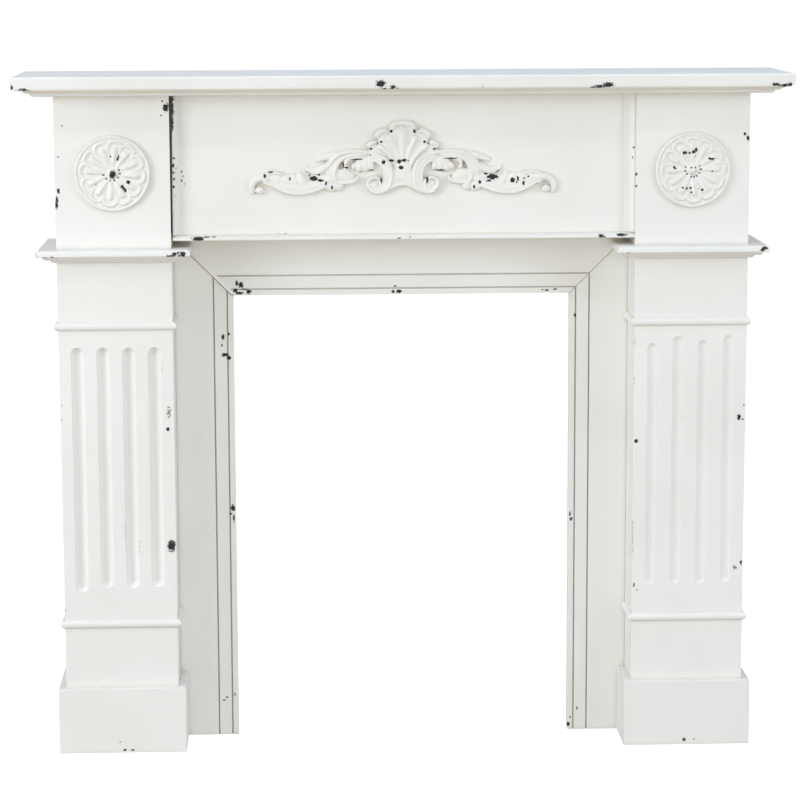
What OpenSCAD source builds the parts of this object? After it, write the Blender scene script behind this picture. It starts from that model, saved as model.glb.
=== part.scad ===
// Painted timber fireplace mantelpiece: a shelf on two fluted pilasters, with a
// panelled frieze between them and a set-back frame of slips around the hearth.
// Front faces -Y, the wall is at +Y, and the origin is the middle of the footprint.

/* [Overall] */
// Width of the shelf, end to end
overall_w = 1200; // [1150:10:1500]
// Depth of the shelf, front edge to wall
overall_d = 230; // [200:5:320]
// Height of the shelf's top above the floor
overall_h = 1074; // [1000:2:1400]
// How far the shelf hangs over the pilasters, in front and at both ends
shelf_over = 60; // [45:1:75]
// Thickness of the painted boards
board_t = 18; // [12:1:22]

/* [Shelf] */
// Height of the shelf's plain front edge
fascia_h = 19; // [14:1:26]
// Height of the moulded band under that edge
under_band_h = 7; // [4:1:12]
// Height of the small lower band
under_bead_h = 5; // [3:1:9]
// Rounding of the shelf's top edge
shelf_round = 3; // [1:0.5:5]

/* [Pilasters] */
// Width of a pilaster
pilaster_w = 178; // [160:1:210]
// Height of the plinth blocks
plinth_h = 106; // [70:1:160]
// Thickness of the plinth boards, which is how far they stand proud
plinth_out = 12; // [8:1:18]
// Height of a capital
capital_h = 21; // [18:1:30]
// How far the capital's top lies below the frieze ledge
capital_drop = 11; // [4:1:30]
// How far the capital stands proud of the pilaster
capital_out = 30; // [28:1:36]
// Plain height between the plinth and the lower astragal
pedestal_h = 96; // [60:1:140]
// Plain height between the upper astragal and the capital
neck_h = 94; // [60:1:130]
// Height of an astragal
astragal_h = 13; // [9:1:18]
// How far an astragal stands proud
astragal_out = 6; // [4:1:10]

/* [Flutes] */
// Number of flutes on a pilaster
flute_count = 4; // [3:1:4]
// Spacing of the flutes
flute_pitch = 40; // [30:1:42]
// Width of the left pilaster's flutes
left_flute_w = 21; // [12:0.5:26]
// Depth of the left pilaster's flutes
left_flute_depth = 7; // [3:0.5:10]
// Width of the right pilaster's flutes, which were cut with less depth
right_flute_w = 15.5; // [12:0.5:26]
// Depth of the right pilaster's flutes
right_flute_depth = 4; // [3:0.5:10]

/* [Frieze] */
// How far the frieze panel sits behind the pilasters' faces
frieze_recess = 16; // [10:1:24]
// Height of the frieze panel, from its ledge to the shelf
frieze_h = 218; // [180:2:260]
// Thickness of the frieze ledge
ledge_t = 8; // [6:1:14]
// How far the ledge's front edge sits behind the pilasters' faces
ledge_back = 3; // [0:1:8]
// Width of the frieze's left cove strip
left_strip_w = 13; // [8:1:24]
// Width of the frieze's right cove strip
right_strip_w = 19; // [8:1:24]
// Open joint beside the left pilaster, at the top of the frieze
joint_top = 4; // [0:0.2:5]
// Open joint beside the left pilaster, at the frieze ledge
joint_foot = 2.2; // [0:0.2:5]

/* [Slips] */
// Width of the side slips, from the pilaster to the hearth opening
slip_w = 93.5; // [60:0.5:120]
// Height of the header slip that shows under the frieze ledge
header_h = 96; // [70:1:120]
// How far the slips sit behind the pilasters' faces
slip_back = 86; // [60:1:110]
// Hidden height of the header slip above the frieze ledge
header_tuck = 20; // [16:1:60]
// Distance of the first quirk from the slips' inner edge
quirk_1 = 9.8; // [6:0.2:16]
// Distance of the second quirk from the slips' inner edge
quirk_2 = 31.4; // [20:0.2:44]
// Width of the quirks
quirk_w = 1.8; // [1:0.1:3]
// Gap in the left mitre, which has opened
left_mitre_gap = 1.6; // [0:0.2:3]
// Gap in the right mitre
right_mitre_gap = 0.6; // [0:0.2:3]

/* [Ornaments] */
// Diameter of the rosettes
rosette_d = 117; // [80:1:130]
// Height of the rosettes' centres above the frieze panel's foot
rosette_up = 98; // [80:1:110]
// Number of petals on a rosette
petal_count = 12; // [8:1:14]
// Scale of the frieze ornament
ornament_scale = 1; // [0.7:0.05:1.1]
// Height of the frieze ornament's fan root above the frieze panel's foot
ornament_up = 115; // [70:1:115]
// Sideways place of the frieze ornament from the middle
ornament_x = 1.5; // [-10:0.5:10]

/* [Hidden] */
$fn = 48;

cream = [0.93, 0.92, 0.88];
white = [0.96, 0.95, 0.92];

// Main faces and levels
wall_y = overall_d / 2;
face_y = -overall_d / 2 + shelf_over;
shelf_t = fascia_h + under_band_h + under_bead_h;
leg_top = overall_h - shelf_t;
panel_foot = leg_top - frieze_h;
ledge_z = panel_foot - ledge_t;
capital_z = ledge_z - capital_drop;
high_astragal_z = capital_z - capital_h - neck_h - astragal_h;
low_astragal_z = plinth_h + pedestal_h;
leg_outer = overall_w / 2 - shelf_over;
leg_inner = leg_outer - pilaster_w;
leg_mid = (leg_outer + leg_inner) / 2;
slip_y = face_y + slip_back;
panel_y = face_y + frieze_recess;
header_top = panel_foot + header_tuck;
hearth_h = ledge_z - header_h;
hearth_x = leg_inner - slip_w;

// Flutes, from left to right: the plain height left above and below each one,
// which was set by eye and differs from flute to flute
left_flute_above = [26.5, 26.5, 27, 27];
left_flute_below = [46, 52, 51.5, 52.5];
right_flute_above = [27.5, 17, 23.5, 16];
right_flute_below = [47, 48, 47.5, 49];

// Quirk depth in the slips
quirk_depth = 2;

// Points on an arc about c, from angle a0 to a1
function arc(c, r, a0, a1, n = 6) =
    [for (i = [0 : n]) let (a = a0 + (a1 - a0) * i / n) c + r * [cos(a), sin(a)]];

// A smooth curve through guide points, n steps between neighbours
function spline_at(p, i, t) =
    let (a = p[max(i - 1, 0)], b = p[i], c = p[i + 1], d = p[min(i + 2, len(p) - 1)])
    0.5 * (2 * b + (c - a) * t + (2 * a - 5 * b + 4 * c - d) * t * t + (3 * b - a - 3 * c + d) * t * t * t);
function smooth(p, n) = concat(
    [for (i = [0 : len(p) - 2]) for (k = [0 : n - 1]) spline_at(p, i, k / n)], [p[len(p) - 1]]);

// Value at share u of a list of evenly spaced values
function along(v, u) =
    let (s = u * (len(v) - 1), i = min(floor(s), len(v) - 2)) v[i] + (v[i + 1] - v[i]) * (s - i);

// ---- Edge profiles, as [distance out from the pilaster, height] -------------

// Shelf edge: rounded fascia, a quirk, an ovolo band and a small bead
function shelf_profile(out, top) =
    let (z1 = top - fascia_h, z2 = z1 - under_band_h, z3 = z2 - under_bead_h, quirk = 5, soft = 1.5)
    concat(
        [[0, z3]],
        arc([out - 32, z2], under_bead_h, -90, 0, 4),
        [[out - 24, z2]],
        arc([out - 24, z1], under_band_h, -90, -40, 3),
        [[out - quirk - 8, z1 - 2], [out - quirk, z1 - 2], [out - quirk, z1], [out - soft, z1]],
        arc([out - shelf_round, top - shelf_round], shelf_round, 0, 90, 4),
        [[0, top]]);

// Capital: a rounded nosing over an ovolo and a small bead
function capital_profile(out, top) =
    let (nose = 10, mid = 16, r = 5, soft = 1.5, bead_x = out - 26, ovolo_x = out - 15)
    concat(
        [[0, top - capital_h], [bead_x, top - capital_h]],
        arc([bead_x, top - mid], capital_h - mid, -90, 0, 4),
        [[ovolo_x, top - mid]],
        arc([ovolo_x, top - nose], mid - nose, -90, 0, 5),
        arc([out - soft, top - nose + soft], soft, -90, 0, 3),
        arc([out - r, top - r], r, 0, 90, 5),
        [[0, top]]);

// Astragal: a half-round
function astragal_profile(out, foot) =
    [for (a = [-90 : 15 : 90]) [out * cos(a), foot + astragal_h / 2 * (1 + sin(a))]];

// Plinth board: plain, with its top edge eased
function plinth_profile(out) =
    concat([[0, 0], [out, 0]], arc([out - 1.5, plinth_h - 1.5], 1.5, 0, 90, 3), [[0, plinth_h]]);

// ---- Mouldings that wrap a pilaster ----------------------------------------

// Plan of one mitred piece: "front", "outer" or "inner"
function wrap_plan(place, out) =
    place == "front" ? [[leg_inner, face_y], [leg_outer, face_y],
                        [leg_outer + out, face_y - out], [leg_inner - out, face_y - out]]
    : place == "outer" ? [[leg_outer, face_y], [leg_outer + out, face_y - out],
                          [leg_outer + out, wall_y], [leg_outer, wall_y]]
    : [[leg_inner, face_y], [leg_inner, slip_y], [leg_inner - out, slip_y], [leg_inner - out, face_y - out]];

// One mitred piece of a moulding on the right pilaster
module wrap_piece(place, profile, out) {
    reach = pilaster_w + 4 * out;
    intersection() {
        translate([0, 0, -1]) linear_extrude(overall_h) polygon(wrap_plan(place, out));
        if (place == "front")
            translate([leg_mid - reach / 2, face_y, 0]) rotate([90, 0, 90])
                mirror([1, 0, 0]) linear_extrude(reach) polygon(profile);
        else if (place == "outer")
            translate([leg_outer, wall_y, 0]) rotate([90, 0, 0])
                linear_extrude(overall_d) polygon(profile);
        else
            translate([leg_inner, wall_y, 0]) rotate([90, 0, 0])
                mirror([1, 0, 0]) linear_extrude(overall_d) polygon(profile);
    }
}

// Draws its children on the right, or mirrored to the left
module on_side(side) {
    if (side == "right") children();
    else mirror([1, 0, 0]) children();
}

module capital(side, place)
    color(cream) on_side(side) wrap_piece(place, capital_profile(capital_out, capital_z), capital_out);

module high_astragal(side, place)
    color(cream) on_side(side)
        wrap_piece(place, astragal_profile(astragal_out, high_astragal_z), astragal_out);

module low_astragal(side, place)
    color(cream) on_side(side)
        wrap_piece(place, astragal_profile(astragal_out, low_astragal_z), astragal_out);

module plinth(side, place)
    color(white) on_side(side) wrap_piece(place, plinth_profile(plinth_out), plinth_out);

// ---- Pilaster boards --------------------------------------------------------

// One flute, sunk into the face with a round-nosed cutter
module flute(x, foot, top, width, depth) {
    cutter_r = (width * width / 4 + depth * depth) / (2 * depth);
    axis_y = face_y - (cutter_r - depth);
    translate([x, axis_y, foot + width / 2]) {
        cylinder(r = cutter_r, h = top - foot - width);
        sphere(r = cutter_r);
        translate([0, 0, top - foot - width]) sphere(r = cutter_r);
    }
}

module front_board(side, flute_w, flute_depth, above, below) {
    mid_x = side == "right" ? leg_mid : -leg_mid;
    foot = low_astragal_z + astragal_h;
    color(white) difference() {
        translate([mid_x - pilaster_w / 2, face_y, 0]) cube([pilaster_w, board_t, leg_top]);
        for (i = [0 : flute_count - 1])
            flute(mid_x + (i - (flute_count - 1) / 2) * flute_pitch,
                  foot + below[i], high_astragal_z - above[i], flute_w, flute_depth);
    }
}

module outer_side(side)
    color(white) on_side(side)
        translate([leg_outer - board_t, face_y + board_t, 0])
            cube([board_t, wall_y - face_y - board_t, leg_top]);

module inner_side(side)
    color(white) on_side(side)
        translate([leg_inner, face_y + board_t, 0])
            cube([board_t, wall_y - face_y - board_t, leg_top]);

// ---- Shelf -------------------------------------------------------------------

module shelf() {
    half = shelf_profile(shelf_over, overall_h);
    front = concat([for (p = half) [face_y - p[0], p[1]]],
                   [[wall_y, overall_h], [wall_y, leg_top]]);
    ends = concat([for (p = half) [leg_outer + p[0], p[1]]],
                  [for (i = [len(half) - 1 : -1 : 0]) [-leg_outer - half[i][0], half[i][1]]]);
    color(cream) intersection() {
        translate([-overall_w, 0, 0]) rotate([90, 0, 90]) linear_extrude(2 * overall_w) polygon(front);
        translate([0, overall_d, 0]) rotate([90, 0, 0]) linear_extrude(2 * overall_d) polygon(ends);
    }
}

// ---- Frieze ------------------------------------------------------------------

// Outline of the frieze seen from the front, with the joint that has opened at its left
function frieze_outline(foot, top) =
    let (slope = (joint_top - joint_foot) / (leg_top - ledge_z),
         left = -leg_inner + joint_foot)
    [[left + slope * (foot - ledge_z), foot], [leg_inner, foot],
     [leg_inner, top], [left + slope * (top - ledge_z), top]];

module frieze_slab(y, depth, foot, top)
    translate([0, y + depth, 0]) rotate([90, 0, 0])
        linear_extrude(depth) polygon(frieze_outline(foot, top));

module frieze_panel()
    color(white) frieze_slab(panel_y, board_t, panel_foot, leg_top);

// The ledge is the front edge of a board that closes the frieze from below
module frieze_ledge() {
    front_y = face_y + ledge_back;
    fall = 3;
    nose = concat(
        [[slip_y, ledge_z], [slip_y, panel_foot], [panel_y, panel_foot]],
        [[front_y + 3, panel_foot - fall + 1]],
        arc([front_y + 2, ledge_z + 3], 2, 100, 180, 4),
        [[front_y, ledge_z + 1], [front_y + 1, ledge_z]]);
    color(cream) intersection() {
        translate([-leg_inner, 0, 0]) rotate([90, 0, 90]) linear_extrude(2 * leg_inner) polygon(nose);
        frieze_slab(front_y - 1, slip_back + 2, ledge_z, panel_foot);
    }
}

// Section of a cove strip, [from the pilaster, out from the panel]
function cove_section(width) =
    let (lip = 2, rise = 9)
    concat([[0, 0], [0, rise], [lip, rise]],
           [for (a = [15 : 15 : 75]) [lip + (width - lip) * (1 - cos(a)), 0.6 + (rise - 0.6) * (1 - sin(a))]],
           [[width, 0.6], [width, 0]]);

module frieze_left_cove()
    color(cream) intersection() {
        translate([-leg_inner + joint_foot, panel_y, panel_foot]) mirror([0, 1, 0])
            linear_extrude(leg_top - panel_foot) polygon(cove_section(left_strip_w));
        frieze_slab(face_y, frieze_recess, panel_foot, leg_top);
    }

module frieze_right_cove()
    color(cream) translate([leg_inner, panel_y, panel_foot]) rotate([0, 0, 180])
        linear_extrude(leg_top - panel_foot) polygon(cove_section(right_strip_w));

// ---- Slips round the hearth -------------------------------------------------

module header_slip() {
    color(white) difference() {
        translate([0, slip_y + board_t, 0]) rotate([90, 0, 0]) linear_extrude(board_t)
            polygon([[-hearth_x, hearth_h], [hearth_x, hearth_h], [leg_inner, hearth_h + slip_w],
                     [leg_inner, header_top], [-leg_inner, header_top], [-leg_inner, hearth_h + slip_w]]);
        for (q = [quirk_1, quirk_2])
            translate([-leg_inner, slip_y - 1, hearth_h + q - quirk_w / 2])
                cube([2 * leg_inner, quirk_depth + 1, quirk_w]);
    }
}

module slip(side, gap)
    color(white) on_side(side) difference() {
        translate([0, slip_y + board_t, 0]) rotate([90, 0, 0]) linear_extrude(board_t)
            polygon([[hearth_x, 0], [leg_inner, 0], [leg_inner, hearth_h + slip_w - gap * sqrt(2)],
                     [hearth_x, hearth_h - gap * sqrt(2)]]);
        for (q = [quirk_1, quirk_2])
            translate([hearth_x + q - quirk_w / 2, slip_y - 1, -1])
                cube([quirk_w, quirk_depth + 1, overall_h]);
    }

// ---- Carved ornaments --------------------------------------------------------

// A rosette: a rimmed disc, tapering tongues that end in cups, darts between them, and a boss
module rosette_relief() {
    r = rosette_d / 2;
    disc_t = 4;
    cup_at = r * 0.66;
    cup_r = r * 0.125;
    step = 360 / petal_count;
    rotate_extrude() polygon(concat([[0, 0], [r, 0]], arc([r - 2, 2.5], 2, 0, 150, 6),
                                    [[r - 6, disc_t - 1], [r * 0.5, disc_t + 1.5], [0, disc_t + 1.5]]));
    for (k = [0 : petal_count - 1]) rotate([0, 0, k * step]) {
        translate([r * 0.2, 0, disc_t + 1]) rotate([0, 84, 0])
            cylinder(r1 = r * 0.045, r2 = cup_r * 0.75, h = cup_at - r * 0.2);
        translate([cup_at, 0, disc_t]) rotate([0, 0, -115])
            rotate_extrude(angle = 230) translate([cup_r, 0]) circle(r = 2.4);
        rotate([0, 0, step / 2]) translate([r * 0.82, 0, disc_t - 0.5]) sphere(r = 3.2);
    }
    translate([0, 0, disc_t]) cylinder(r = r * 0.19, h = 4);
    translate([0, 0, disc_t + 3]) sphere(r = r * 0.1);
}

module rosette(side)
    color(cream) translate([side == "right" ? leg_mid : -leg_mid, face_y, panel_foot + rosette_up])
        rotate([90, 0, 0]) rosette_relief();

// One strand of relief: domed in front, flat behind, with a short upright edge.
// guide is its centre line, widths and heights vary along it.
module strand(guide, widths, heights, n = 4) {
    edge = 2;
    path = smooth(guide, n);
    last = len(path) - 1;
    dome = [0, 45, 90, 135, 180];
    rings = [for (i = [0 : last])
        let (d = path[min(i + 1, last)] - path[max(i - 1, 0)],
             side = [-d[1], d[0]] / norm(d),
             w = along(widths, i / last) / 2,
             h = along(heights, i / last))
        concat([[path[i][0] + side[0] * w, path[i][1] + side[1] * w, 0]],
               [for (a = dome) let (s = w * cos(a))
                   [path[i][0] + side[0] * s, path[i][1] + side[1] * s, edge + (h - edge) * sin(a)]],
               [[path[i][0] - side[0] * w, path[i][1] - side[1] * w, 0]])];
    m = len(rings[0]);
    points = [for (ring = rings) for (p = ring) p];
    faces = concat(
        [[for (k = [0 : m - 1]) k]],
        [for (i = [0 : last - 1]) for (k = [0 : m - 1])
            let (a = i * m + k, b = i * m + (k + 1) % m) [a, a + m, b]],
        [for (i = [0 : last - 1]) for (k = [0 : m - 1])
            let (a = i * m + k, b = i * m + (k + 1) % m) [b, a + m, b + m]],
        [[for (k = [m - 1 : -1 : 0]) last * m + k]]);
    polyhedron(points = points, faces = faces);
}

// A leaf lobe between two round ends
module lobe(a, ra, b, rb, h)
    hull($fn = 12) {
        translate([a[0], a[1], 0]) cylinder(r1 = ra, r2 = ra * 0.5, h = h * 0.8, $fn = 12);
        translate([b[0], b[1], 0]) cylinder(r1 = rb, r2 = rb * 0.55, h = h, $fn = 12);
    }

// Right half of the frieze ornament, about the fan's root
module ornament_half() {
    // Shell fan: two side ribs with cupped ends
    lobe([6, 0], 2, [25, 38], 8, 10);
    lobe([9, -3], 2, [43, 22], 6.5, 9);
    lobe([25, 40], 5, [40, 43], 6, 7);
    lobe([44, 22], 5, [53, 22], 4.5, 7);
    // Scroll beside the fan, ending in a volute
    strand([[52, 15], [38, 12], [24, -2], [17, -18], [17, -32], [25, -43], [38, -48],
            [50, -44], [54, -34], [47, -26], [37, -28], [34, -36], [40, -40]],
           [6, 12, 14, 13, 12, 10, 7, 5], [9, 11, 12, 12, 11, 10, 10, 9], 3);
    translate([40, -36, 0]) cylinder(r1 = 4.5, r2 = 3, h = 10, $fn = 12);
    // Calyx under the fan
    lobe([6, -8], 7, [9, -30], 7, 9);
    // Acanthus band that rises from the fan and curls under
    strand([[48, 15], [68, 17], [88, 15], [103, 8], [110, -5], [109, -18], [101, -27], [90, -28], [85, -20]],
           [8, 14, 16, 15, 13, 11, 8], [9, 10, 12, 12, 11, 10, 8], 3);
    strand([[60, 5], [76, 7], [89, 3], [94, -8]], [4, 7, 7, 5], [8, 10, 10, 8], 3);
    lobe([46, 0], 9, [69, -8], 8, 8);
    lobe([86, -18], 9, [80, -22], 6, 8);
    // Leaf fingers above the arm
    strand([[94, 14], [114, 9], [132, 0], [148, -3], [153, -9]], [8, 13, 11, 7, 3], [9, 10, 9, 8, 5], 3);
    strand([[108, -8], [120, -16], [134, -19], [147, -14]], [8, 11, 9, 4], [8, 9, 8, 5], 3);
    // Hanging leaf under the band
    lobe([106, -28], 6, [108, -44], 9, 7);
    lobe([108, -42], 6, [119, -45], 4, 6);
    // Outer arm with its hooked end and bud
    strand([[112, -24], [126, -36], [144, -45], [165, -48], [186, -45], [204, -36], [220, -29],
            [233, -29], [239, -38], [235, -47]],
           [6, 10, 13, 13, 12, 10, 8, 5], [8, 10, 11, 11, 11, 10, 10, 8], 3);
    translate([227, -43, 0]) cylinder(r1 = 7, r2 = 5, h = 9, $fn = 12);
    // Leaf lobes along the arm
    lobe([172, -40], 10, [163, -20], 7, 8);
    lobe([188, -36], 10, [199, -22], 8, 8);
    lobe([178, -38], 8, [182, -26], 5, 7);
}

module frieze_ornament()
    color(cream) translate([ornament_x, panel_y, panel_foot + ornament_up]) rotate([90, 0, 0])
        scale(ornament_scale) union() {
            ornament_half();
            mirror([1, 0, 0]) ornament_half();
            // Middle rib of the fan and its wide cupped head
            lobe([0, -2], 2.5, [0, 44], 11, 12);
            lobe([-12, 55], 6, [12, 55], 6, 9);
            lobe([0, -6], 9, [0, -26], 12, 10);
        }

// ---- Every node --------------------------------------------------------------

shelf();

front_board("left", left_flute_w, left_flute_depth, left_flute_above, left_flute_below);  // left_front_board
outer_side("left");  // left_outer_side
inner_side("left");  // left_inner_side
capital("left", "front");  // left_capital_front
capital("left", "outer");  // left_capital_outer
capital("left", "inner");  // left_capital_inner
high_astragal("left", "front");  // left_high_astragal_front
high_astragal("left", "outer");  // left_high_astragal_outer
high_astragal("left", "inner");  // left_high_astragal_inner
low_astragal("left", "front");  // left_low_astragal_front
low_astragal("left", "outer");  // left_low_astragal_outer
low_astragal("left", "inner");  // left_low_astragal_inner
plinth("left", "front");  // left_plinth_front
plinth("left", "outer");  // left_plinth_outer
plinth("left", "inner");  // left_plinth_inner

front_board("right", right_flute_w, right_flute_depth, right_flute_above, right_flute_below);  // right_front_board
outer_side("right");  // right_outer_side
inner_side("right");  // right_inner_side
capital("right", "front");  // right_capital_front
capital("right", "outer");  // right_capital_outer
capital("right", "inner");  // right_capital_inner
high_astragal("right", "front");  // right_high_astragal_front
high_astragal("right", "outer");  // right_high_astragal_outer
high_astragal("right", "inner");  // right_high_astragal_inner
low_astragal("right", "front");  // right_low_astragal_front
low_astragal("right", "outer");  // right_low_astragal_outer
low_astragal("right", "inner");  // right_low_astragal_inner
plinth("right", "front");  // right_plinth_front
plinth("right", "outer");  // right_plinth_outer
plinth("right", "inner");  // right_plinth_inner

frieze_panel();
frieze_ledge();
frieze_left_cove();
frieze_right_cove();
header_slip();
slip("left", left_mitre_gap);  // left_slip
slip("right", right_mitre_gap);  // right_slip
rosette("left");  // left_rosette
rosette("right");  // right_rosette
frieze_ornament();
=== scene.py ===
# %% [markdown]
# # A painted mantelpiece, dressed in Blender
# The boards and mouldings of this fire surround come finished from the CAD
# model, which is loaded here as a fixed frame. This lesson adds what the CAD
# model leaves out: cast ornaments with real relief, eased paint-filled edges,
# a worn off-white paint over a dark undercoat, bare board behind, and the
# light and camera of a plain studio.

from math import cos, pi, radians, sin

import bpy
import numpy as np
from mathutils import Matrix, Vector


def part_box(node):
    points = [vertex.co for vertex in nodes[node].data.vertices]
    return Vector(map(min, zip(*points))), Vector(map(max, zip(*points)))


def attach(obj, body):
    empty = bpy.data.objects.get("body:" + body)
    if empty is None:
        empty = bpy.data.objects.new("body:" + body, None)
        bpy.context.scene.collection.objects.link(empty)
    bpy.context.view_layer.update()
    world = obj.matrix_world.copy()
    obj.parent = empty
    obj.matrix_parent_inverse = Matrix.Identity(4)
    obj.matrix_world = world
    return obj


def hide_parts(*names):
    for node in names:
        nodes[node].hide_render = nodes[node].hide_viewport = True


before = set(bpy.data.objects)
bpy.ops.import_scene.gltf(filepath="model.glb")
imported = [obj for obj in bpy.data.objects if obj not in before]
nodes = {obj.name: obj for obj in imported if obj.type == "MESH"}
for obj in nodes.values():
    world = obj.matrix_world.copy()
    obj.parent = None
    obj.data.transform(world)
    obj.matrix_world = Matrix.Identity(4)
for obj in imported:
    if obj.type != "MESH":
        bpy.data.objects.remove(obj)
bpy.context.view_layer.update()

# %% [markdown]
# ## Camera
# The piece is seen from about four metres away with a long lens, from a little
# above the shelf, so its uprights stay almost upright. A long lens flattens
# depth, and the slight downward tilt shows the top of every ledge.

# %% Place the camera
yaw, pitch, roll = 0.04041, -0.15930, -0.00365
turn = Matrix.Rotation(-yaw, 3, "Z") @ Matrix.Rotation(pi / 2 + pitch, 3, "X") @ Matrix.Rotation(roll, 3, "Z")
bpy.ops.object.select_all(action="DESELECT")
bpy.ops.object.camera_add(location=(-0.1798, -4.3285, 1.2509), rotation=turn.to_euler())
camera = bpy.context.object
camera.name = "Camera"
camera.data.sensor_width = 36
camera.data.lens = 123.894
bpy.context.scene.camera = camera
print("camera", tuple(round(v, 3) for v in camera.location), "lens", round(camera.data.lens, 1), "mm")

# %% [markdown]
# ## A kit for shader nodes
# Every finish below is a small network of nodes. One helper adds a node, sets
# its options and connects its inputs, so that each material reads as a recipe.

# %% Helpers for shader nodes
def add_node(tree, kind, inputs=None, **options):
    made = tree.nodes.new(kind)
    for option, value in options.items():
        setattr(made, option, value)
    for socket, value in (inputs or {}).items():
        if isinstance(value, bpy.types.NodeSocket):
            tree.links.new(value, made.inputs[socket])
        else:
            made.inputs[socket].default_value = value
    return made


def calc(tree, operation, a, b=0.0):
    return add_node(tree, "ShaderNodeMath", {0: a, 1: b}, operation=operation).outputs[0]


def fade(tree, value, low, high):
    ramp = add_node(tree, "ShaderNodeMapRange", {"Value": value, "From Min": low, "From Max": high},
                    interpolation_type="SMOOTHSTEP")
    return ramp.outputs["Result"]


def blend_colour(tree, share, first, second):
    mix = add_node(tree, "ShaderNodeMix", {"Factor": share, 6: first, 7: second}, data_type="RGBA")
    return mix.outputs[2]


def noise(tree, place, scale, detail=3.0, rough=0.6):
    made = add_node(tree, "ShaderNodeTexNoise", {"Vector": place, "Scale": scale, "Detail": detail,
                                                 "Roughness": rough})
    return made.outputs["Fac"]


# %% [markdown]
# ## The paint
# The surround is finished in off-white satin paint over a nearly black
# undercoat. Knocks have flaked the paint off in small ragged patches, mostly
# along edges, and there the undercoat shows. A patch is a soft egg-shaped
# region about its middle, broken up by noise: the share of paint lost falls
# off from the middle, and the noise decides which grains go first.
# Where two faces meet, which ambient occlusion finds, the paint is darkened
# to a warm brown as painted shade, and deep narrow grooves get painted shade
# in the undercoat colour. Occlusion measured inwards finds the arrises,
# which are worn here and there.
# A few fine specks, brush marks and a slight cloudiness keep the plain areas
# alive. Faces that look down are tinted a warm yellow as painted warm shade,
# and faces that were never painted show the bare board.

# %% Colours
PAINT = (0.86, 0.86, 0.845, 1)
PAINT_CLOUD = (0.828, 0.825, 0.805, 1)
CREVICE_SHADE_COLOUR = (0.55, 0.46, 0.28, 1)
UNDERSIDE_WARM_SHADE = (0.84, 0.76, 0.60, 1)
UNDERCOAT = (0.012, 0.012, 0.013, 1)
BOARD = (0.52, 0.37, 0.22, 1)
BOARD_DARK = (0.34, 0.22, 0.12, 1)


# %% Masks
def chip_field(tree, place, chips):
    """Distance to the nearest chip, in that chip's own radius. A patchy chip is held back a little."""
    nearest = None
    for middle, size, held in chips:
        local = add_node(tree, "ShaderNodeMapping", {
            "Vector": place, "Location": [-m / s for m, s in zip(middle, size)],
            "Scale": [1 / s for s in size]})
        away = add_node(tree, "ShaderNodeVectorMath", {0: local.outputs[0]},
                        operation="LENGTH").outputs["Value"]
        if held:
            away = calc(tree, "ADD", away, held)
        nearest = away if nearest is None else calc(tree, "MINIMUM", nearest, away)
    return nearest


def facing(tree, direction):
    """One where a face looks along a direction."""
    normal = add_node(tree, "ShaderNodeNewGeometry").outputs["Normal"]
    dot = add_node(tree, "ShaderNodeVectorMath", {0: normal, 1: direction},
                   operation="DOT_PRODUCT").outputs["Value"]
    return fade(tree, dot, 0.7, 0.75)


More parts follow.
